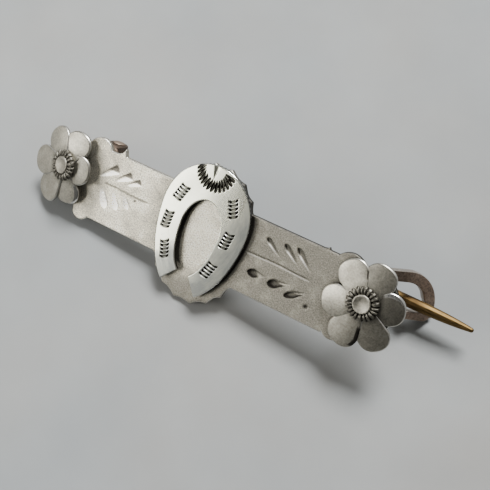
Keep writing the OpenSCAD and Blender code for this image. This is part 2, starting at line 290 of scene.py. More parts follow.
def even(path, count):
    """The same line with count points at equal steps of its length."""
    run = np.concatenate([[0.0], np.cumsum(np.hypot(*np.diff(path, axis=0).T))])
    at = np.linspace(0.0, run[-1], count)
    return np.stack([np.interp(at, run, path[:, 0]), np.interp(at, run, path[:, 1])], -1)


def waves(x, y, seed, count=7, longest=9.0, shortest=2.5):
    """Gentle unevenness: the mean of several sine waves of seeded direction, length and phase."""
    rng = np.random.default_rng(seed)
    turn = rng.uniform(0, 2 * np.pi, count)
    k = 2 * np.pi / rng.uniform(shortest, longest, count)
    phase = rng.uniform(0, 2 * np.pi, count)
    across = x[..., None] * np.cos(turn) + y[..., None] * np.sin(turn)
    return np.sin(across * k + phase).mean(-1)


def shell(p, hollow=0.0, rubbed_edge_and_glint=0.0, stain=0.0, place=None, round_trip=False):
    """A closed skin over rings p[i, j]: ring i joins ring i + 1, each ring closes on itself, and the two end
    rings close on a pole at their middle, or on each other on a round trip."""
    n, m = p.shape[:2]
    ids = np.arange(n * m).reshape(n, m)
    a, b = (ids, np.roll(ids, -1, 0)) if round_trip else (ids[:-1], ids[1:])
    faces = np.stack([a, b, np.roll(b, -1, 1), np.roll(a, -1, 1)], -1).reshape(-1, 4)
    points = p.reshape(-1, 3)
    marks = [np.broadcast_to(v, (n, m)).reshape(-1) for v in (hollow, rubbed_edge_and_glint, stain)]
    place = points if place is None else place.reshape(-1, 3)
    if not round_trip:
        ends = np.stack([p[0].mean(0), p[-1].mean(0)])
        first = np.stack([np.roll(ids[0], -1), np.full(m, n * m), ids[0], np.full(m, -1)], -1)
        last = np.stack([ids[-1], np.full(m, n * m + 1), np.roll(ids[-1], -1), np.full(m, -1)], -1)
        faces = np.concatenate([faces, first, last])
        points = np.concatenate([points, ends])
        place = np.concatenate([place, place.reshape(n, m, 3)[[0, -1]].mean(1)])
        marks = [np.concatenate([v, v.reshape(n, m)[[0, -1]].mean(1)]) for v in marks]
    c0, c1, c2 = points[faces[:, 0]], points[faces[:, 1]], points[faces[:, 2]]
    c3 = np.where(faces[:, 3:] < 0, c2, points[faces[:, 3]])
    inside_out = (c0 * np.cross(c1, c2)).sum() + (c0 * np.cross(c2, c3)).sum() < 0
    if inside_out:
        quads = faces[:, 3:] >= 0
        faces = np.where(quads, faces[:, ::-1], faces[:, [2, 1, 0, 3]])
    return {"points": points, "faces": faces, "marks": marks, "place": place}


def lathe(profile, count, turned):
    """Rings about an axis: each (r, h) of the profile becomes a ring of radius r at height h, and
    turned(x, y, h) says where its points lie."""
    a = np.linspace(0, 2 * np.pi, count, endpoint=False)
    r, h = profile[:, :1], profile[:, 1:]
    return turned(r * np.cos(a), r * np.sin(a), h + 0 * a)


def tilted(place):
    """Gives a function that turns a piece's own x, y and height about the bar's cross line by the place's
    last number, in degrees, and moves them to the place's x, y and height."""
    a = np.radians(place[3])

    def turned(x, y, h):
        return np.stack([place[0] + x * np.cos(a) + h * np.sin(a), place[1] + y + 0 * h,
                         place[2] - x * np.sin(a) + h * np.cos(a)], -1)

    return turned


def along_rivet(x, y, h):
    """Places about an axis turned so that the axis runs along the rivet, h from its middle."""
    return np.stack([PIVOT[0] + x, PIVOT[1] + h, PIVOT[2] + y], -1)


def placed(name, data):
    """A new object of that data, linked to the scene."""
    made = bpy.data.objects.new(name, data)
    bpy.context.scene.collection.objects.link(made)
    return made


def piece(name, shells, body, node, material):
    """Joins shells into one object, laid down in the shared frame, with its marks as point attributes."""
    starts = np.cumsum([0] + [len(s["points"]) for s in shells])
    points = np.concatenate([s["points"] for s in shells])
    faces = np.concatenate([np.where(s["faces"] < 0, -1, s["faces"] + k) for s, k in zip(shells, starts)])
    corners = faces[faces >= 0]
    counts = (faces >= 0).sum(1)
    mesh = bpy.data.meshes.new(name)
    mesh.vertices.add(len(points))
    mesh.vertices.foreach_set("co", lay_down(points).ravel())
    mesh.loops.add(len(corners))
    mesh.loops.foreach_set("vertex_index", corners.astype(np.int32))
    mesh.polygons.add(len(counts))
    mesh.polygons.foreach_set("loop_start", (np.cumsum(counts) - counts).astype(np.int32))
    mesh.update(calc_edges=True)
    mesh.polygons.foreach_set("use_smooth", np.ones(len(counts), bool))
    for at, label in enumerate(("hollow", "rubbed_edge_and_glint", "stain")):
        values = np.concatenate([s["marks"][at] for s in shells]).astype(np.float32)
        mesh.attributes.new(label, "FLOAT", "POINT").data.foreach_set("value", values)
    place = np.concatenate([s["place"] for s in shells]).astype(np.float32)
    mesh.attributes.new("place", "FLOAT_VECTOR", "POINT").data.foreach_set("vector", place.ravel())
    if mesh.validate():
        raise RuntimeError(f"{name} has faces that don't close")
    thing = placed(name, mesh)
    mesh.materials.append(bpy.data.materials[material])
    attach(thing, body)
    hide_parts(node)


# Bar

def plaque_line(count=576):
    """The ellipse of the plaque whose radius dips by a half sine between two cusps."""
    turns = np.arange(count) * CUSPS / count
    a = np.radians(270 - 180 / CUSPS) + turns * 2 * np.pi / CUSPS
    r = PLAQUE_W * PLAQUE_H / np.hypot(PLAQUE_H * np.cos(a), PLAQUE_W * np.sin(a))
    r = r - CUSP_DEPTH * np.sin(np.pi * (turns % 1.0))
    return np.stack([r * np.cos(a), r * np.sin(a) - PLAQUE_DROP], -1)


def bar_lines():
    """Closed lines whose union is the bar's outline: straight part, plaque, lobes, ends and side cusps."""
    corners = np.array([(-1, -BAR_BOTTOM), (1, -BAR_BOTTOM), (1, BAR_TOP), (-1, BAR_TOP)])
    lines = [corners * (BAR_HALF, 1), plaque_line()]
    lines += [arc(lobe[:2], lobe[2], 0, 360, 121)[:-1] for lobe in LOBES]
    lines += [arc(place[:2], END_R, 0, 360, 241)[:-1] for place in (LEFT_PLACE, RIGHT_PLACE)]
    cusp = np.array([(-0.9, 0), (0.5, 0), (0.25, 0.05), (0, 1), (-0.35, 0.3), (-0.9, 0.02)])
    lines += [cusp * (stretch * h, h) + (x, BAR_TOP) for x, h, stretch in SIDE_CUSPS]
    return lines


def bar_edges(x):
    """Lowest and highest y of the outline at each x, from every line segment that passes over it."""
    lines = bar_lines()
    a = np.concatenate(lines)
    b = np.concatenate([np.roll(line, -1, 0) for line in lines])
    run = b[:, 0] - a[:, 0]
    run = np.where(np.abs(run) < 1e-9, 1e-9, run)
    t = (x[:, None] - a[:, 0]) / run
    y = a[:, 1] + t * (b[:, 1] - a[:, 1])
    over = (t >= -1e-6) & (t <= 1 + 1e-6)
    return np.where(over, y, np.inf).min(1), np.where(over, y, -np.inf).max(1)


def leaf_cut(x, y, leaf):
    """One leaf struck with a graver: q runs from its thin to its broad end and t across it. It widens as a
    power of q, closes in a quarter ellipse and is deepest near one side. Gives depth, a dark mask of patina
    and painted shade, and a painted highlight."""
    along, across = spun(x - leaf.x, y - leaf.y, -leaf.tip)
    q = 0.5 - along / leaf.length
    qc = np.clip(q, 0, 1)
    closing = np.sqrt(np.clip(1 - (np.clip(qc - leaf.widest, 0, 1) / (1 - leaf.widest)) ** 2, 0, 1))
    half = 0.5 * leaf.width * (np.clip(qc, 1e-4, leaf.widest) / leaf.widest) ** leaf.power * closing
    t = -leaf.side * across / np.maximum(half, 1e-3)
    inside = (q > 0) & (q < 1) & (np.abs(t) < 1)
    slender, shallow = leaf.bright_low > 0, leaf.bright_low < 0
    valley = 0.72 if slender else 0.45
    wall = cone(t - valley, np.where(t > valley, 1 - valley, 1 + valley))
    depth = wall ** 0.8 * half / (0.5 * leaf.width) * (0.25 if shallow else 1.0)
    soft = step(1 - np.abs(t), 0.0, 0.2)
    past_root = step(q, 0.15, 0.5)
    shade = leaf.dark * step(q + leaf.slant * t, leaf.dark_from - 0.05, leaf.dark_from + 0.07) * soft
    if leaf.side < 0:
        shade = shade * (0.76 + 0.24 * np.clip(step(q, 0.7, 0.9) + step(-t, 0.0, 0.6), 0, 1))
    # Painted shade on the far side of the slender leaves
    if slender:
        shade = np.maximum(shade, 0.55 * step(-t, -0.55, 0.0) * soft * past_root)
    # Painted highlight along the wall that faces the light
    painted_glint = leaf.bright * step(t, leaf.bright_low, leaf.bright_low + 0.25) * soft
    painted_glint = painted_glint * (1 - step(t, leaf.bright_high, leaf.bright_high + 0.25))
    painted_glint = painted_glint * step(q, 0.1, 0.35) * (1 - np.clip(shade * 1.6, 0, 1))
    # Painted shade: a grey line along the edge of the shallow leaves
    if shallow:
        shade = np.maximum(shade, 0.55 * step(cone(t - 0.85, 0.3), 0.0, 0.6) * past_root)
    return inside * depth, inside * shade, inside * painted_glint


def petal_gap(x, y, petals):
    """Distance from places about a flower's middle to its petals' nearest round end, below zero inside."""
    a = np.radians([petal.angle for petal in petals])
    centre = np.array([petal.reach for petal in petals]) - PETAL_R
    return (np.hypot(x[..., None] - centre * np.cos(a), y[..., None] - centre * np.sin(a)) - PETAL_R).min(-1)


def bar_relief(x, y, cuts):
    """Depth of the cuts, dark mask, staining and painted highlight of the bar's face at x, y. Where cuts
    meet, the deepest counts; painted shade darkens the face under and beside the flowers and under the
    horseshoe's edges; the face is stained beside them, painted shade darkens it towards the right, and it is
    darker towards its lower edge."""
    depth, dark, painted_glint = np.max([leaf_cut(x, y, leaf) for leaf in LEAVES], 0)
    # Stems: a groove dark with patina, and beside the right stem a painted highlight
    for start, end, mid in STEMS:
        along = step(x, start - 0.2, start + 0.3) * (1 - step(x, end - 0.6, end + 0.1))
        off = y - mid - 0.05 * np.sin(x * 0.9)
        groove = cone(off, 0.13) * along
        depth = np.maximum(depth, 0.5 * groove)
        dark = np.maximum(dark, (0.6 if start < 0 else 0.3) * groove ** 2)
        painted_glint = np.maximum(painted_glint, (start > 0) * 0.6 * cone(off + 0.12, 0.07) * along)
    for px, py, r in PITS:
        pit = cone(np.hypot(x - px, y - py), r)
        depth = np.maximum(depth, 0.6 * pit)
        dark = np.maximum(dark, 0.8 * step(pit, 0.0, 0.7))
    # Painted shade under and beside the petals of each raised flower
    for place, petals, start in ((LEFT_PLACE, LEFT_PETALS, -1.0), (RIGHT_PLACE, RIGHT_PETALS, -0.25)):
        gap = petal_gap(x - place[0], y - place[1], petals)
        dark = np.maximum(dark, 0.95 * fade(gap - start, 0.35))
    # Painted shade under the horseshoe along the inner edge of its left arm and the outer edge of its right
    # arm
    sx, sy = spun(x, y, SHOE_TURN)
    within = (1 - np.hypot(sx / INNER_W, sy / np.where(sy > 0, INNER_TOP, INNER_END + 0.3))) * INNER_W
    under_left = fade(within, 0.05) * step(within, -1.2, -0.8) * step(-sx, -0.8, 0.6) * step(sy, -4.9, -4.5)
    height = np.where(sy > SHOE_MID, SHOE_TOE - SHOE_MID, 9.0)
    beside = (np.hypot(sx / SHOE_W, (sy - SHOE_MID) / height) - 1) * SHOE_W
    past_heel = sx - 0.8 * np.clip(-5.0 - sy, 0, 9)
    under_right = fade(beside, 0.08) * step(beside, -1.2, -0.8) * step(past_heel, 0.9, 1.2)
    dark = np.maximum(dark, 0.9 * np.maximum(under_left, under_right))
    off_shoe = np.abs(np.hypot(x / 5.6, (y + 0.1) / 7.2) - 1)
    near_shoe = fade(6.0 * off_shoe, np.sqrt(1.2)) * (1 - step(within, -0.8, 0.3))
    near_left, near_right = (fade(np.hypot(x - fx, y - fy) - r, np.sqrt(1.6)) for fx, fy, r in STAINED)
    # Staining beside the horseshoe and the flowers, with random tone; the rise towards the right is painted
    # shade, and the face also darkens towards its lower edge
    stain = 0.17 + 0.45 * near_shoe + 0.55 * near_left + 0.4 * near_right + 0.9 * step(x - 0.5 * y, 1.0, 6.0)
    stain = stain + 0.35 * step(-y, 4.4, 6.2)
    stain = np.clip(stain * (1 - 0.8 * step(within, 0.0, 0.5)) + 0.3 * waves(x, y, 3), 0, 1)
    return depth * cuts, dark, stain, painted_glint


def bar_shell(cuts, bevel, rows=118, columns=640):
    """The bar as rings round its cross-section, one for each x: the face from lower to upper edge with its
    cuts, the upper wall, the back, the lower wall. The face drops by the square of its closeness to the
    outline."""
    left, right = LEFT_PLACE[0] - END_R, RIGHT_PLACE[0] + END_R
    x = left + 0.015 + (right - left - 0.03) * eased(columns, 0.15)
    low, high = bar_edges(x)
    steep_low, steep_high = (np.hypot(1, np.gradient(edge, x))[:, None] for edge in (low, high))
    x, low, high = x[:, None], low[:, None], high[:, None]
    v = eased(rows, 0.3)
    gx, gy = x + 0 * v, low + (high - low) * v
    close = cone(np.minimum((gy - low) / steep_low, (high - gy) / steep_high), bevel)
    depth, dark, stain, painted_glint = bar_relief(gx, gy, cuts)
    face = -depth - 0.6 * bevel * close ** 2 + 0.02 * waves(gx, gy, 5) * (1 - close)
    wall = -BAR_T * np.array([0.2, 0.5, 0.8, 0.94]) + 0 * x
    back = low + (high - low) * np.array([0.992, 0.97, 0.85, 0.65, 0.5, 0.35, 0.15, 0.03, 0.008])
    rings_y = np.concatenate([gy, high + 0 * wall, back, low + 0 * wall], 1)
    rings_z = np.concatenate([face, wall, -BAR_T + 0 * back, wall[:, ::-1]], 1)
    # Painted shade: over the right half the upper edge darkens and its rubbed gleam is dimmed, the upper wall
    # darkens towards the right, and the back and lower wall are dark
    far_edge = step(x, 0.0, 3.0) * (v > 0.5)
    rubbed_edge_and_glint = np.maximum(step(close, 0.1, 0.9) * (1 - 0.95 * far_edge), painted_glint)
    pad = [(0, 0), (0, rings_y.shape[1] - rows)]
    hollow = np.pad(np.maximum(dark, 0.75 * step(close, 0.1, 0.7) * far_edge), pad, constant_values=0.35)
    hollow[:, rows:rows + wall.shape[1]] = 0.4 + 0.55 * step(x, -1.0, 3.0)
    stain = np.pad(stain, pad, constant_values=0.7)
    return shell(np.stack([x + 0 * rings_y, rings_y, rings_z], -1), hollow, np.pad(rubbed_edge_and_glint, pad), stain)


# Horseshoe

def shoe_lines(count):
    """Outer and inner line of the horseshoe from heel to heel: an upper and a lower half ellipse that meet at
    the widest place, cut off where the heels end."""
    lines = []
    for wide, heel, mid, top, end in ((SHOE_W, HEEL_OUT, SHOE_MID, SHOE_TOE - SHOE_MID, SHOE_HEEL + SHOE_MID),
                                      (INNER_W, HEEL_IN, 0.0, INNER_TOP, INNER_END)):
        low = end / np.sqrt(1 - (heel / wide) ** 2)
        start = -np.arcsin(end / low)
        a = start + np.linspace(0, 1, count) * (np.pi - 2 * start)
        lines.append(np.stack([wide * np.cos(a), mid + np.where(np.sin(a) > 0, top, low) * np.sin(a)], -1))
    return lines


def shoe_relief(x, y, cuts):
    """Struck marks of the horseshoe. Nail marks are stacks of strokes that sag, widest and darkest at their
    ends, with grey between their middles and a painted highlight between their ends; the crescent is a fan
    of oval strokes that lean at its left; the toe clip is a three-cornered cut with one steep wall, darkened
    by painted shade that is heaviest over its left part, with a dark line along its right edge. Gives depth,
    dark mask and painted highlight."""
    depth, dark, bright = 0 * x, 0 * x, 0 * x
    for mx, my, way in NAILS:
        p, q = spun(x - mx, y - my, -way)
        out = np.abs(q) / NAIL_HALF
        sag = 0.12 * q / NAIL_HALF + 0.14 * (1 - np.clip(out, 0, 1) ** 2)
        slot = (p + sag) / NAIL_PITCH + (NAIL_COUNT - 1) / 2
        off = np.abs(slot - np.round(slot)) * NAIL_PITCH
        ok = (slot > -0.5) & (slot < NAIL_COUNT - 0.5)
        wide = 0.13 + 0.02 * step(out, 0.3, 0.55)
        mark = ok * np.clip((wide - off) / 0.04, 0, 1) * (1 - step(out, 0.96, 1.06))
        between = (slot > 0) & (slot < NAIL_COUNT - 1) & (out < 1)
        shade = step(mark, 0.0, 0.5) * (0.72 + 0.28 * step(out, 0.25, 0.5))
        shade = np.maximum(shade, 0.5 * between * (1 - step(out, 0.25, 0.75)))
        depth = np.maximum(depth, mark)
        dark = np.maximum(dark, shade)
        # Painted highlight between the ends of the strokes
        bright = np.maximum(bright, 0.7 * between * step(out, 0.3, 0.6) * (1 - step(mark, 0.0, 0.3)))
    dx, dy = x - CRESCENT_AT[0], y - CRESCENT_AT[1]
    r = np.hypot(dx, dy)
    a = (np.degrees(np.arctan2(dy, dx)) - CRESCENT_WAY + 180) % 360 - 180
    mid = (CRESCENT_IN + CRESCENT_OUT) / 2
    half = (CRESCENT_OUT - CRESCENT_IN) / 2 * (1 - 0.18 * step(-a, 20, 80))
    lean = (r - mid) * np.tan(np.radians(-8 + 50 * step(-a, 5, 75)))
    slot = (a - np.degrees(lean / np.maximum(r, 0.1))) / CRESCENT_STEP + (CRESCENT_COUNT - 1) / 2
    off = (slot - np.round(slot)) * np.radians(CRESCENT_STEP) * r
    ok = (slot > -0.5) & (slot < CRESCENT_COUNT - 0.5)
    oval = 1 - np.hypot(off / np.maximum(0.115 * r, 0.01), (r - mid) / half)
    mark = ok * np.clip(oval, 0, 1) ** 0.5
    crest = cone(off - 0.02, 0.03) * (1 - step(np.abs(r - mid), 0.6 * half, 0.9 * half))
    depth = np.maximum(depth, mark * (1 - 0.6 * crest))
    dark = np.maximum(dark, step(mark, 0.0, 0.2) * (1 - 0.2 * crest))
    cx, cy = spun(x, y, SHOE_TURN)
    (lx, ly), (rx, _), (px, py) = CLIP
    t = np.clip((ly - cy) / (ly - py), -0.5, 1)
    left, right = lx + (px - lx) * t, rx + (px - rx) * t
    part = np.clip((cx - left) / np.maximum(right - left, 1e-3), 0, 1)
    clip = step(cx - left, -0.03, 0.03) * step(right - cx, -0.03, 0.03) * (t < 1)
    depth = np.maximum(depth, 0.6 * clip * np.minimum(part / 0.65, (1 - part) / 0.35))
    # Painted shade on the toe clip, heaviest over its left part
    dark = np.maximum(dark, clip * (0.6 * (1 - step(part, 0.4, 0.75)) + 0.12 + 0.25 * step(part, 0.85, 1.0)))
    return depth * cuts, dark, bright


def shoe_shell(cuts, bevel, columns=860, rows=72):
    """The horseshoe as rings round its band, one for each step from heel to heel: the top from the outer to
    the inner edge with its marks, the inner wall, the underside, the outer wall with its file marks. Painted
    shade darkens the inner wall and the underside, and the outer wall most where it faces +X."""
    outer, inner = shoe_lines(columns)
    v = eased(rows, 0.25)
    flat = outer[:, None] + (inner - outer)[:, None] * v[:, None]
    width = np.hypot(*(inner - outer).T)[:, None]
    run = np.cumsum(np.hypot(*np.gradient((outer + inner) / 2, axis=0).T))[:, None]
    x, y = spun(flat[..., 0], flat[..., 1], -SHOE_TURN)
    x = x + SHOE_X
    depth, dark, bright = shoe_relief(x, y, cuts)
    close = cone(np.minimum(np.minimum(v, 1 - v) * width, np.minimum(run, run[-1] - run) + 0.03), bevel)
    top = SHOE_LIFT + SHOE_T - depth - 0.7 * bevel * close ** 2 - 0.0065 * x ** 2 + 0.012 * waves(x, y, 8)
    wall = SHOE_LIFT + SHOE_T * (1 - np.array([0.25, 0.45, 0.7, 0.92])) + 0 * run
    ix, iy, ox, oy = x[:, -1:], y[:, -1:], x[:, :1], y[:, :1]
    nx, ny = (ox - ix) / width, (oy - iy) / width
    filed = (0.03 * np.sin(run * 19.0) * np.array([0.2, 1, 0.6, 1]) * step(run, 0.5, 1.0))[:, ::-1]
    back = np.array([0.97, 0.8, 0.5, 0.2, 0.03])
    rings_x = np.concatenate([x, ix + 0 * wall, ox + (ix - ox) * back, ox + nx * filed], 1)
    rings_y = np.concatenate([y, iy + 0 * wall, oy + (iy - oy) * back, oy + ny * filed], 1)
    rings_z = np.concatenate([top, wall, SHOE_LIFT + 0 * ix * back, wall[:, ::-1]], 1)
    pad = [(0, 0), (0, rings_x.shape[1] - rows)]
    # Painted shade on the inner wall, the underside and, most where it faces +X, the outer wall
    hollow = np.pad(dark, pad, constant_values=0.97)
    hollow[:, -wall.shape[1]:] = 0.5 + 0.47 * step(nx, 0.1, 0.6)
    # Rubbed edges, and the painted highlight between the nail strokes
    rubbed_edge_and_glint = np.pad(np.maximum(step(close, 0.1, 0.9), bright), pad)
    # Painted shade, with tone that differs at random: the right arm and its heel and the lower part of the
    # left arm, most on its inner side, are dulled towards the darker colour
    dull = 0.78 * step(x - 0.35 * y, 0.6, 4.2) + 0.15 * step(-y, 3.0, 6.0) * (x > 0) + 0.1 * waves(x, y, 11)
    dull = dull + 0.85 * step(1.2 * (x + 3.0) - y, 1.6, 4.4) * (x < 0) * step(-y, 0.0, 2.0)
    dull = np.clip(dull, 0, 1) - 0.3 * (1 - step(dull, 0.0, 0.5))
    stain = np.pad(dull, pad, constant_values=0.8)
    place = np.stack([run + 0 * rings_x, np.pad(v * width, pad, constant_values=9.0), rings_z], -1)
    return shell(np.stack([rings_x, rings_y, rings_z], -1), hollow, rubbed_edge_and_glint, stain, place)


def pad_shell(at):
    """A short round solder pad with a rounded foot: rings of growing, even, then shrinking radius."""
    profile = np.array([(0.3, 0.02), (0.74, 0.02), (0.76, 0.07), (0.7, 0.14), (0.68, 0.3), (0.68, 0.5),
                        (0.3, 0.5)])
    profile[:, 0] *= PAD_R / 0.74
    # Painted shade darkens the pad under the horseshoe
    return shell(lathe(profile, 40, tilted((*at, 0, 0))), 0.5, 0.0, 0.9)


# Flowers

def petal_shell(place, petal, dome, bevel, seed):
    """One petal as rings across it from root to tip: its half width w grows from the root and then follows
    |x|^n + |w|^n = 1, its face is arched, tilted and bevelled round its edge, and its back runs level with it.
    Painted shade darkens its back, its root by the ring, its face by its shade value, and a strip beside it
    where the gap to the next petal lies; a painted highlight runs along one edge."""
    centre = petal.reach - PETAL_R
    c = np.linspace(0, 1.55, 34)
    inner = np.linspace(0.25, centre, 26)[:-1]
    x = np.concatenate([inner, centre + PETAL_R * np.sin(c) ** (2 / PETAL_POWER)])
    root = ROOT_W + (PETAL_R - ROOT_W) * (inner / centre) ** 0.85
    half = np.concatenate([root, PETAL_R * np.cos(c) ** (2 / PETAL_POWER)])[:, None]
    face = np.sin(np.linspace(-np.pi / 2, np.pi / 2, 44))
    t = np.concatenate([face, np.sin(np.linspace(np.pi / 2, -np.pi / 2, 20))[1:-1]])
    front = np.arange(len(t)) < len(face)
    gx, gy = x[:, None] + 0 * t, half * t
    past = np.clip((gx - centre) / PETAL_R, 0, 1)
    tip = past ** PETAL_POWER + np.abs(gy / PETAL_R) ** PETAL_POWER
    inset = np.where(gx < centre, (half - np.abs(gy)) * 0.9, PETAL_R * (1 - tip ** (1 / PETAL_POWER)))
    close = np.clip(1 - inset / bevel, 0, 1)
    arch = dome * ((gy / PETAL_R) ** 2 + 0.35 * past ** 2)
    h = PETAL_T / 2 - 0.75 * bevel * close ** 2 + 0.015 * waves(gx, gy, seed)
    h = np.where(front, h, -PETAL_T / 2 + 0.3 * bevel * close) - arch
    h = h - gx * np.tan(np.radians(petal.drop)) - gy * np.tan(np.radians(petal.roll)) * step(gx, 0.5, 2.5)
    px, py = spun(gx, gy, petal.angle)
    # Painted highlight along one edge
    gleam = petal.glint * step(t, 0.7, 0.8) * step(gx, 1.8, 2.4)
    rubbed_edge_and_glint = np.maximum(0.5 * step(close, 0.15, 0.9), gleam) * front
    # Painted shade on the face, on the back and at the root by the ring
    shade = np.where(front, petal.shade * (1 - 0.9 * rubbed_edge_and_glint), 0.5) + 0.3 * np.clip(1 - (gx - 1.7) / 0.45, 0, 1)
    # Painted shadow in a strip beside the petal, where the gap to the next petal lies
    end = petal.reach + petal.slit
    beside = step(np.sign(petal.slit) * gy - half + np.abs(petal.slit), 0, 0.1) * (petal.slit != 0)
    beside = beside * step(gx, 1.9, 2.3) * (1 - step(gx, end - 1.4, end - 0.9))
    shade = np.clip(np.maximum(shade, 0.97 * beside), 0, 1)
    stain = np.clip(petal.stain + 0.5 * waves(gx, gy, seed + 9, 7, 2.6, 0.9), 0, 1)
    return shell(tilted(place)(px, py, h), shade, rubbed_edge_and_glint * (1 - beside), stain)


def flower_middle(place, stain, deep, plain):
    """The notched ring and dished disc as rings about the flower's axis, where notches cut into the ring's
    top and side as narrow troughs at nearly even angles. The notches are dark with patina, and painted shade
    darkens the trough between disc and ring and the ring's outer side and underside."""
    profile = np.array([
        (0.02, 0.26), (0.3, 0.27), (0.55, 0.31), (0.72, 0.37), (0.84, 0.4), (0.91, 0.39), (0.95, 0.33),
        (0.97, 0.24), (1.0, 0.24), (1.05, 0.3), (1.13, 0.36), (1.25, 0.38), (1.4, 0.37), (1.53, 0.34),
        (1.63, 0.28), (1.71, 0.2), (1.75, 0.12), (1.75, 0.02), (1.72, -0.1), (1.5, -0.3), (0.5, -0.3),
    ])
    cut = np.array([0, 0, 0, 0, 0, 0, 0, 0.3, 0.6, 0.9, 1, 1, 1, 1, 1, 1, 0.9, 0.6, 0, 0, 0])[:, None]
    groove = np.array([0, 0, 0, 0, 0, 0, 0.3, 0.8, 0.8, 0.4, 0.2, 0, 0, 0, 0.1, 0.2, 0.4, 0.7, 0.9, 1, 1])
    a = np.linspace(0, 2 * np.pi, 440, endpoint=False)
    wobble = 0.12 * np.sin(3 * a + 1) + 0.08 * np.sin(7 * a)
    notch = step(np.abs((a * NOTCHES / (2 * np.pi) + wobble) % 1.0 - 0.5), 0.2, 0.42) * cut
    radius, h = profile[:, :1], profile[:, 1:] - 0.2 * notch
    r = radius - 0.1 * notch * (radius > 1.6)
    # Patina in the notches; painted shade in the trough inside the ring and down its outer side
    hollow = np.clip(np.maximum(deep * (notch + groove[:, None]), (radius > 0.97) * plain), 0, 1)
    return shell(tilted(place)(r * np.cos(a), r * np.sin(a), h), hollow, 0.0, stain)


def post_shell(place):
    """The round post from the bar's face up into the flower, with a small fillet of solder at its foot, dark
    with painted shade under the flower.
    """
    top = place[2] - 0.2
    profile = np.array([(0.4, SEAM), (POST_R + 0.12, SEAM), (POST_R + 0.1, 0.08), (POST_R, 0.2),
                        (POST_R, top), (0.4, top)])
    return shell(lathe(profile, 56, tilted((*place[:2], 0, 0))), 0.9, 0.0, 1.0)


# Catch, hinge, rivet and pin

def catch_shell():
    """The open hook as rings round its band: outer and inner line are matched by equal shares of their
    lengths, and each ring is a rectangle across the sheet with rounded corners."""
    outer = even(np.concatenate([
        [ROOT_OUT], arc(BOW_AT, BOW_R, 95, -4, 60), arc(CORNER_AT, CORNER_R, -20, -90, 16),
        arc(LIP_AT, LIP_R, -90, -172, 12)]), 170)
    inner = even(np.concatenate([
        [ROOT_IN], arc(HOLE_AT, HOLE_R, 90, 42, 40), arc(INNER_AT, INNER_R, 60, -90, 34),
        arc(LIP_AT, LIP_R, -270, -188, 12)]), 170)
    c = np.linspace(0, np.pi / 2, 4)
    level = CATCH_T / 2 - CATCH_EDGE * (1 - np.sin(c))
    inset = CATCH_EDGE * (1 - np.cos(c)) / np.hypot(*(inner - outer).T)[:, None]
    face = np.array([0.2, 0.4, 0.6, 0.8]) + 0 * inset
    across = np.concatenate([inset, face, 1 - inset[:, ::-1]], 1)
    across = np.concatenate([across, across[:, ::-1]], 1)
    height = np.concatenate([level, np.full(4, CATCH_T / 2), level[::-1]])
    height = np.concatenate([height, -height])
    flat = outer[:, None] + (inner - outer)[:, None] * across[..., None]
    p = tilted((*CATCH_FOOT, 90 - CATCH_TURN))(flat[..., 0], flat[..., 1], height)
    rubbed_edge_and_glint = 0.6 * (np.abs(height) < CATCH_T / 2 - 0.01)
    return shell(p, 0.55 - 0.45 * step(flat[..., 0], 3.0, 7.0), rubbed_edge_and_glint, 0.7)


def knuckle_shell(start, end):
    """One knuckle as rings along the rivet: each is a half circle below and straight walls above, drawn in a
    little at both ends."""
    a = np.radians(np.linspace(180, 360, 40))
    y = np.concatenate([start + np.array([0, 0.03, 0.1]), np.linspace(start + 0.2, end - 0.2, 5),
                        end - np.array([0.1, 0.03, 0])])[:, None]
    r = BARREL_R - np.array([0.1, 0.04, 0, 0, 0, 0, 0, 0, 0, 0.04, 0.1])[:, None]
    up = np.array([0.25, 0.6, 1.0]) * (-BAR_T - SEAM - PIVOT[2])
    x = np.concatenate([r * np.cos(a), r + 0 * up, -r + 0 * up], 1)
    z = np.concatenate([r * np.sin(a), up + 0 * r, up[::-1] + 0 * r], 1)
    return shell(along_rivet(x, z, y + 0 * x), 0.7, 0.0, 1.0)


def block_shell(low, high, soft):
    """A small plate as rings of its rounded outline, drawn in a little at its foot and top."""
    a = np.linspace(0, 2 * np.pi, 64, endpoint=False)
    squeeze = np.array([1, 0.3, 0, 0, 0.3, 1])[:, None] * soft
    level = np.array([0, 0.2, 0.4, 0.6, 0.8, 1])[:, None] * (high[2] - low[2]) + low[2]
    half = (np.array(high) - low)[:2] / 2
    mid = (np.array(high) + low)[:2] / 2
    x = mid[0] + (half[0] - squeeze) * np.sign(np.cos(a)) * np.abs(np.cos(a)) ** 0.25
    y = mid[1] + (half[1] - squeeze) * np.sign(np.sin(a)) * np.abs(np.sin(a)) ** 0.25
    return shell(np.stack([x, y, level + 0 * a], -1), 0.3, 0.0, 0.8)


def rivet_shell():
    """The rivet as rings about its axis: a plain shank with a low domed head at each end."""
    end = BARREL_L / 2 + SEAM
    c = np.linspace(0.04, np.pi / 2, 8)
    dome = np.stack([HEAD_R * np.sin(c), end + 0.05 + (HEAD_H - 0.05) * np.cos(c)], -1)
    head = np.concatenate([dome, [(HEAD_R, end), (RIVET_R, end)]])
    return shell(lathe(np.concatenate([head, head[::-1] * (1, -1)]), 48, along_rivet), 0.1, 0.0, 0.6)


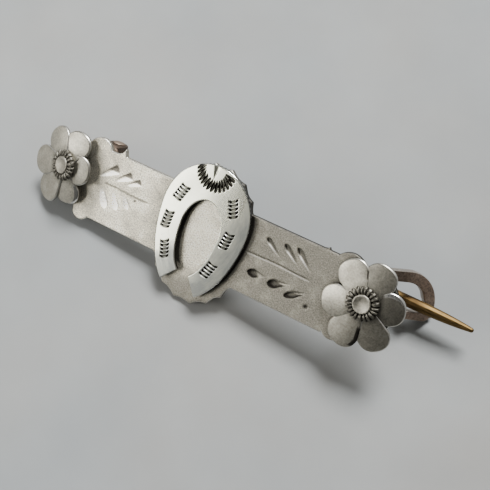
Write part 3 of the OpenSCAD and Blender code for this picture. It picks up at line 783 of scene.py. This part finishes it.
def eye_shell():
    """The pin's eye as rings round the rivet's axis: each ring is the same rounded rectangle between the hole
    and the outside."""
    c = np.radians(np.linspace(0, 90, 5))
    soft, half = 0.14, EYE_L / 2
    hole = RIVET_R + PLAY
    quarter = np.stack([BARREL_R - soft + soft * np.cos(c), half - soft + soft * np.sin(c)], -1)
    side = np.concatenate([quarter, [(hole + 0.04, half), (hole, half - 0.05)]])
    line = np.concatenate([side, side[::-1] * (1, -1)])
    a = np.linspace(0, 2 * np.pi, 72, endpoint=False)[:, None]
    p = along_rivet(line[:, 0] * np.cos(a), line[:, 0] * np.sin(a), line[:, 1] + 0 * a)
    return shell(p, 0.0, 0.0, 0.6, round_trip=True)


def wire_shell():
    """The wire as rings along its line from inside the eye: a slight flare at the eye, an even run, a taper
    with faint filed flats and a round point."""
    end = PIN_LENGTH - PIN_TIP_R
    s = np.concatenate([np.linspace(WIRE_FROM, 4, 30), np.linspace(4.3, PIN_STRAIGHT, 60),
                        np.linspace(PIN_STRAIGHT + 0.2, end, 50)])
    thinning = np.clip((s - PIN_STRAIGHT) / (end - PIN_STRAIGHT), 0, 1) ** TAPER
    r = PIN_R + (PIN_TIP_R - PIN_R) * thinning + FLARE * fade(s - WIRE_FROM, 0.7)
    c = np.linspace(0.12, 1.54, 12)
    s = np.concatenate([s, end + PIN_TIP_R * np.sin(c)])[:, None]
    r = np.concatenate([r, PIN_TIP_R * np.cos(c)])[:, None]
    a = np.linspace(0, 2 * np.pi, 72, endpoint=False)
    r = r * (1 - np.abs(step(s, 20, 36) * 0.035 * np.cos(5 * a + 0.6)))
    line = (PIN_IN_CATCH - PIVOT) / np.linalg.norm(PIN_IN_CATCH - PIVOT)
    side = np.cross(line, (0, 0, 1))
    side = side / np.linalg.norm(side)
    up = np.cross(side, line)
    p = PIVOT + line * s[..., None] + r[..., None] * (side * np.cos(a)[:, None] + up * np.sin(a)[:, None])
    place = np.stack([s * 0.15 + 0 * a, r * np.cos(a), r * np.sin(a)], -1)
    stain = 0.25 + 0.6 * (1 - step(s, 1, 5)) + 0.6 * fade(np.abs(s - STAINED_AT), 1.0)
    return shell(p, 0.0, 0.0, np.clip(stain, 0, 1), place)


# Shader nodes

def feed(tree, made, given):
    """Gives each named input of a node another node's output or a plain value."""
    for label, value in given.items():
        if isinstance(value, bpy.types.NodeSocket):
            tree.links.new(value, made.inputs[label])
        else:
            made.inputs[label].default_value = value


def node(tree, kind, given, **settings):
    """A new node of that kind with its settings and its inputs' values."""
    made = tree.nodes.new("ShaderNode" + kind)
    for label, value in settings.items():
        setattr(made, label, value)
    feed(tree, made, given)
    return made


def sums(tree, kind, a, b, clamp=False):
    """The result of a Math node of that kind on a and b."""
    return node(tree, "Math", {0: a, 1: b}, operation=kind, use_clamp=clamp).outputs[0]


def noise(tree, vector, scale, detail, rough=0.5):
    """The grey value of noise of that scale on the vector."""
    given = {"Vector": vector, "Scale": scale, "Detail": detail, "Roughness": rough}
    return node(tree, "TexNoise", given).outputs[0]


def blend(tree, factor, a, b):
    """A colour between a and b."""
    return node(tree, "Mix", {"Factor": factor, 6: a, 7: b}, data_type="RGBA").outputs[2]


def own_mark(tree, label):
    """The piece's own attribute of that name."""
    made = node(tree, "Attribute", {}, attribute_name=label)
    return made.outputs["Vector" if label == "place" else "Fac"]


def group_of(name, inputs, outputs):
    """A new shader node group. Each socket has a label and its kind, or a number that is its default."""
    tree = bpy.data.node_groups.new(name, "ShaderNodeTree")
    for way, sockets in (("INPUT", inputs), ("OUTPUT", outputs)):
        for label, kind in sockets.items():
            plain = not isinstance(kind, str)
            kind_name = "NodeSocket" + ("Float" if plain else kind)
            made = tree.interface.new_socket(label, in_out=way, socket_type=kind_name)
            if plain:
                made.default_value = kind
    return tree, tree.nodes.new("NodeGroupInput").outputs, tree.nodes.new("NodeGroupOutput")


def grain_group():
    """Fine grain, slow clouding and rare specks on the given places."""
    tree, given, out = group_of("metal_grain", {"Vector": "Vector", "Fineness": 9.0},
                                {"Grain": "Float", "Cloud": "Float", "Speck": "Float"})
    places = given["Vector"]
    speck = sums(tree, "SUBTRACT", noise(tree, places, 3.1, 2), 0.66, True)
    feed(tree, out, {"Grain": noise(tree, places, given["Fineness"], 4, 0.65),
                     "Cloud": noise(tree, places, 0.7, 5, 0.6),
                     "Speck": sums(tree, "MULTIPLY", speck, 5.0, True)})


def tarnish_and_shade_group():
    """Clean metal stained where the piece's staining mark, the clouding and the specks are high, dark in its
    cuts and where shade is painted, and speckled by the grain; the staining mark also carries painted shade."""
    sockets = {"Clean": "Color", "Stained": "Color", "Dark": "Color", "Grain": 0.5, "Cloud": 0.5,
               "Speck": 0.0, "Speckle": 1.0}
    tree, given, out = group_of("tarnish_and_shade", sockets, {"Color": "Color", "Amount": "Float"})
    grain = given["Grain"]
    lift = sums(tree, "MULTIPLY", sums(tree, "SUBTRACT", given["Cloud"], 0.5), 1.4)
    stain = sums(tree, "ADD", own_mark(tree, "stain"), lift, True)
    stain = sums(tree, "ADD", stain, sums(tree, "MULTIPLY", given["Speck"], 0.35), True)
    stain = sums(tree, "MULTIPLY", stain, sums(tree, "ADD", grain, 0.5), True)
    # Dark in the cuts and where shade is painted
    deep = own_mark(tree, "hollow")
    tone = blend(tree, deep, blend(tree, stain, given["Clean"], given["Stained"]), given["Dark"])
    uneven = sums(tree, "MULTIPLY", sums(tree, "SUBTRACT", grain, 0.5), given["Speckle"])
    scaled = node(tree, "VectorMath", {0: tone, "Scale": sums(tree, "ADD", uneven, 1.0)}, operation="SCALE")
    feed(tree, out, {"Color": scaled.outputs[0], "Amount": sums(tree, "MAXIMUM", stain, deep)})


def wear_and_glint_group():
    """Rubbed edges and painted highlights: the colour goes to bright metal where that mark is high, broken up
    by the grain.
    """
    sockets = {"Color": "Color", "Bright": "Color", "Grain": 0.5, "Roughness": 0.4}
    tree, given, out = group_of("edge_wear_and_glint", sockets, {"Color": "Color", "Roughness": "Float"})
    worn = sums(tree, "MULTIPLY", own_mark(tree, "rubbed_edge_and_glint"), sums(tree, "ADD", given["Grain"], 0.25, True), True)
    smoother = sums(tree, "SUBTRACT", given["Roughness"], sums(tree, "MULTIPLY", worn, 0.25), True)
    feed(tree, out, {"Color": blend(tree, worn, given["Color"], given["Bright"]), "Roughness": smoother})


def metal(name, finish, clean, stained, bright, rough, spread, fineness, bump, speckle, metallic=1.0,
          stretch=None):
    """A worn metal: grain, tarnishing with painted shade, and rubbed edges with painted highlights feed
    colour and roughness, and the grain feeds a bump.
    """
    made = bpy.data.materials.new(name)
    made.use_nodes = True
    tree = made.node_tree
    places = own_mark(tree, "place")
    if stretch:
        places = node(tree, "Mapping", {"Vector": places, "Scale": stretch}).outputs[0]

    def part(group, given):
        return node(tree, "Group", given, node_tree=bpy.data.node_groups[group]).outputs

    grain = part("metal_grain", {"Vector": places, "Fineness": fineness})
    tarnish_and_shade = part("tarnish_and_shade", {
        "Clean": (*getattr(finish, clean), 1), "Stained": (*getattr(finish, stained), 1),
        "Dark": (*finish.cut, 1), "Grain": grain["Grain"], "Cloud": grain["Cloud"], "Speck": grain["Speck"],
        "Speckle": speckle})
    uneven = sums(tree, "MULTIPLY", sums(tree, "SUBTRACT", grain["Grain"], 0.5), spread)
    dull = sums(tree, "MULTIPLY", tarnish_and_shade["Amount"], 0.18)
    wear_and_glint = part("edge_wear_and_glint", {
        "Color": tarnish_and_shade["Color"], "Bright": (*bright, 1), "Grain": grain["Grain"],
        "Roughness": sums(tree, "ADD", sums(tree, "ADD", uneven, dull), rough, True)})
    bumped = node(tree, "Bump", {"Strength": bump, "Distance": BUMP_M, "Height": grain["Grain"]})
    feed(tree, tree.nodes["Principled BSDF"], {
        "Base Color": wear_and_glint["Color"], "Roughness": wear_and_glint["Roughness"], "Metallic": metallic,
        "Normal": bumped.outputs[0]})


# Settings a user would change

def colour(name, description, value):
    """A colour setting."""
    return bpy.props.FloatVectorProperty(
        name=name, description=description, subtype="COLOR", size=3, min=0, max=1, default=value)


def number(name, description, value, **more):
    """A setting of one number that isn't below zero."""
    return bpy.props.FloatProperty(name=name, description=description, default=value, min=0, **more)


class BroochRelief(bpy.types.PropertyGroup):
    """Depths of the cuts and roundings, in millimetres."""

    leaf_depth: number("Leaf depth (mm)", "Depth of the engraved leaves", 0.2, max=2)
    mark_depth: number("Mark depth (mm)", "Depth of the horseshoe's struck marks", 0.12, max=2)
    edge: number("Edge rounding (mm)", "Width of the rounding along the sheet's edges", 0.12, max=2)
    petal_dome: number("Petal arch (mm)", "How far a petal's edges lie below its middle line", 0.14, max=2)
    petal_edge: number("Petal edge (mm)", "Width of the bevel round each petal", 0.12, max=2)


class BroochFinish(bpy.types.PropertyGroup):
    """Colours of the metals."""

    frosted: colour("Frosted silver", "Colour of the bar", (0.96, 0.89, 0.72))
    petals: colour("Petal silver", "Colour of the petals", (0.50, 0.475, 0.40))
    bright: colour("Bright silver", "Colour of the horseshoe", (0.96, 0.96, 0.80))
    # The dulled colour also stands for painted shade on the horseshoe's right arm and the lower part of its
    # left arm
    dulled_and_shaded: colour("Dulled silver", "Colour of the horseshoe where it is dull", (0.34, 0.35, 0.33))
    # This colour also stands for painted shade towards the bar's right end and on petal facets turned from
    # the light
    stain: colour("Stain", "Colour of the bar and petals where they are tarnished", (0.33, 0.31, 0.26))
    # The cut colour also stands for painted shade under the flowers and the horseshoe, on sheet walls and
    # backs, and beside the petals
    cut: colour("Cuts", "Colour in the cuts and hollows", (0.012, 0.01, 0.008))
    dark: colour("Dark silver", "Colour of the catch and hinge", (0.40, 0.32, 0.26))
    dark_stain: colour("Dark stain", "Colour of the catch and hinge in their stains", (0.29, 0.21, 0.16))
    brass: colour("Brass", "Colour of the pin", (0.18, 0.118, 0.045))
    brass_stain: colour("Brass stain", "Colour of the pin where it is stained", (0.085, 0.05, 0.022))


class BroochStage(bpy.types.PropertyGroup):
    """Floor and light."""

    floor: colour("Floor", "Colour of the floor", (0.318, 0.32, 0.322))
    key: number("Key light", "Power of the large soft light", 21.5, unit="POWER")
    window: number("Window", "Strength of the window over the left end", 5.8)
    behind: number("Wall", "Strength of the pale wall behind", 0.24)
    room: number("Room", "Strength of the light from the rest of the room", 0.05)


class BROOCH_OT_materials(bpy.types.Operator):
    """Make the shared node groups and the worn metals"""

    bl_idname = "brooch.materials"
    bl_label = "Metals"

    def execute(self, context):
        grain_group()
        tarnish_and_shade_group()
        wear_and_glint_group()
        for name, values in METALS.items():
            metal(name, context.scene.brooch_finish, **values)
        return {"FINISHED"}


class BROOCH_OT_bar(bpy.types.Operator):
    """Build the engraved bar with its cusped plaque"""

    bl_idname = "brooch.bar"
    bl_label = "Bar"

    def execute(self, context):
        sizes = context.scene.brooch_relief
        bar = bar_shell(sizes.leaf_depth, sizes.edge)
        piece("engraved_bar", [bar], "brooch", "bar_plate", "frosted_bar")
        return {"FINISHED"}


class BROOCH_OT_horseshoe(bpy.types.Operator):
    """Build the horseshoe with its struck marks and its solder pads"""

    bl_idname = "brooch.horseshoe"
    bl_label = "Horseshoe"

    def execute(self, context):
        sizes = context.scene.brooch_relief
        shells = [shoe_shell(sizes.mark_depth, 0.75 * sizes.edge)] + [pad_shell(at) for at in PADS]
        piece("struck_horseshoe", shells, "brooch", "horseshoe", "struck_silver")
        return {"FINISHED"}


class BROOCH_OT_flowers(bpy.types.Operator):
    """Build both flowers: petals, notched ring, dished disc and post"""

    bl_idname = "brooch.flowers"
    bl_label = "Flowers"

    def execute(self, context):
        sizes = context.scene.brooch_relief
        for side, (place, petals, middle) in FLOWERS.items():
            shells = [petal_shell(place, petal, sizes.petal_dome, sizes.petal_edge, 20 + k)
                      for k, petal in enumerate(petals)]
            shells += [flower_middle(place, *middle), post_shell(place)]
            piece(f"{side}_flower_petals", shells, "brooch", f"{side}_flower",
                  "frosted_petals")
        return {"FINISHED"}


class BROOCH_OT_fastening(bpy.types.Operator):
    """Build the catch, the hinge with its rivet, and the pin"""

    bl_idname = "brooch.fastening"
    bl_label = "Catch, hinge and pin"

    def execute(self, context):
        inner, outer = EYE_L / 2 + KNUCKLE_GAP, BARREL_L / 2
        base = block_shell((PIVOT[0] - BASE_W / 2, PIVOT[1] - outer, -BAR_T - BASE_H),
                           (PIVOT[0] + BASE_W / 2, PIVOT[1] + outer, -BAR_T - SEAM), 0.06)
        knuckles = [knuckle_shell(-outer, -inner), knuckle_shell(inner, outer)]
        for name, shells, part in (
                ("open_catch", [catch_shell()], "catch"),
                ("hinge_knuckles", [*knuckles, base], "hinge"),
                ("domed_rivet", [rivet_shell()], "hinge_rivet")):
            piece(name, shells, "brooch", part, "tarnished_silver")
        piece("brass_pin", [eye_shell(), wire_shell()], "pin", "pin_stem", "worn_brass")
        return {"FINISHED"}


def pale_floor(base):
    """The floor's material: its colour darker towards +X, a painted fall-off of light, and a little blotchy
    in tone and tint.
    """
    made = bpy.data.materials.new("pale_floor")
    made.use_nodes = True
    tree = made.node_tree
    at = node(tree, "TexCoord", {}).outputs["Object"]
    # Painted fall-off of light: the floor darkens towards +X
    across = sums(tree, "MULTIPLY", node(tree, "SeparateXYZ", {0: at}).outputs["X"], -7.5)
    blotch = sums(tree, "ADD", noise(tree, at, 60.0, 4, 0.55), -0.02)
    darker, lighter = ((*(share * c for c in base), 1) for share in (0.8, 1.2))
    tone = blend(tree, sums(tree, "ADD", across, blotch, True), darker, lighter)
    tint = blend(tree, noise(tree, at, 45.0, 3, 0.5), (0.85, 0.94, 1.0, 1), (1.0, 0.94, 0.86, 1))
    toned = node(tree, "VectorMath", {0: tone, 1: tint}, operation="MULTIPLY")
    feed(tree, tree.nodes["Principled BSDF"], {"Base Color": toned.outputs[0], "Roughness": 0.75})
    return made


def pale_room(look):
    """The world: a dim room in which a window and a pale wall glow up smoothly towards their middles."""
    world = bpy.data.worlds.new("pale_room")
    world.use_nodes = True
    tree = world.node_tree
    way = node(tree, "TexCoord", {}).outputs["Generated"]
    glow = []
    for middle, (near, far), low, high in ((WINDOW, WINDOW_EDGE, look.room, look.window),
                                           (BEHIND, BEHIND_EDGE, 0.0, look.behind)):
        toward = node(tree, "VectorMath", {0: way, 1: middle}, operation="DOT_PRODUCT").outputs["Value"]
        spread = {"Value": toward, "From Min": near, "From Max": far, "To Min": low, "To Max": high}
        glow.append(node(tree, "MapRange", spread, interpolation_type="SMOOTHSTEP").outputs["Result"])
    shine = {"Color": (1.0, 0.99, 0.95, 1), "Strength": sums(tree, "ADD", *glow)}
    feed(tree, tree.nodes["Background"], shine)
    return world


class BROOCH_OT_stage(bpy.types.Operator):
    """Build the floor, the lights and the camera"""

    bl_idname = "brooch.stage"
    bl_label = "Stage"

    def execute(self, context):
        look = context.scene.brooch_stage
        side = np.linspace(-FLOOR_HALF, FLOOR_HALF, 41)
        u, v = np.meshgrid(side, side, indexing="ij")
        ids = np.arange(u.size).reshape(u.shape)
        faces = np.stack([ids[:-1, :-1], ids[1:, :-1], ids[1:, 1:], ids[:-1, 1:]], -1).reshape(-1, 4)
        mesh = bpy.data.meshes.new("floor")
        mesh.from_pydata(np.stack([u, v, 0 * u], -1).reshape(-1, 3).tolist(), [], faces.tolist())
        mesh.materials.append(pale_floor(look.floor))
        floor = placed("floor", mesh)
        context.scene.world = pale_room(look)

        lamp = bpy.data.lights.new("key_light", "AREA")
        lamp.shape = "SQUARE"
        lamp.size = LAMP_SIZE
        lamp.energy = look.key
        lamp.color = (0.985, 1.0, 1.0)
        held = placed("key_light", lamp)
        held.location = LAMP_AT
        held.rotation_euler = (Vector(LAMP_AIM) - Vector(LAMP_AT)).to_track_quat("-Z", "Y").to_euler()

        camera = placed("camera", bpy.data.cameras.new("camera"))
        turned = Matrix((TURN @ CAMERA_AXES.T).tolist())
        camera.matrix_world = Matrix.Translation(lay_down(CAMERA_AT)) @ turned.to_4x4()
        camera.data.sensor_width = 36.0
        camera.data.lens = 36.0 * FOCAL_PX / PHOTO_PX
        camera.data.clip_start = 0.005
        camera.data.clip_end = 5.0
        context.scene.camera = camera
        return {"FINISHED"}


STEPS = ("materials", "bar", "horseshoe", "flowers", "fastening", "stage")


class BROOCH_PT_panel(bpy.types.Panel):
    """Lists the steps and the settings in the sidebar"""

    bl_label = "Brooch"
    bl_idname = "BROOCH_PT_panel"
    bl_space_type = "VIEW_3D"
    bl_region_type = "UI"
    bl_category = "Brooch"

    def draw(self, context):
        for name in STEPS:
            self.layout.operator(f"brooch.{name}")
        for group in (context.scene.brooch_relief, context.scene.brooch_finish, context.scene.brooch_stage):
            for label in group.__annotations__:
                self.layout.prop(group, label)


SETTINGS = {"brooch_relief": BroochRelief, "brooch_finish": BroochFinish, "brooch_stage": BroochStage}
CLASSES = (*SETTINGS.values(), BROOCH_OT_materials, BROOCH_OT_bar, BROOCH_OT_horseshoe, BROOCH_OT_flowers,
           BROOCH_OT_fastening, BROOCH_OT_stage, BROOCH_PT_panel)


def register():
    """Makes the classes known and gives the scene its settings."""
    for each in CLASSES:
        bpy.utils.register_class(each)
    for label, group in SETTINGS.items():
        setattr(bpy.types.Scene, label, bpy.props.PointerProperty(type=group))


def unregister():
    """Takes back what register did."""
    for label in SETTINGS:
        delattr(bpy.types.Scene, label)
    for each in reversed(CLASSES):
        bpy.utils.unregister_class(each)


def main():
    """Registers the classes and runs each step in order."""
    register()
    for name in STEPS:
        getattr(bpy.ops.brooch, name)()


if __name__ == "__main__":
    main()
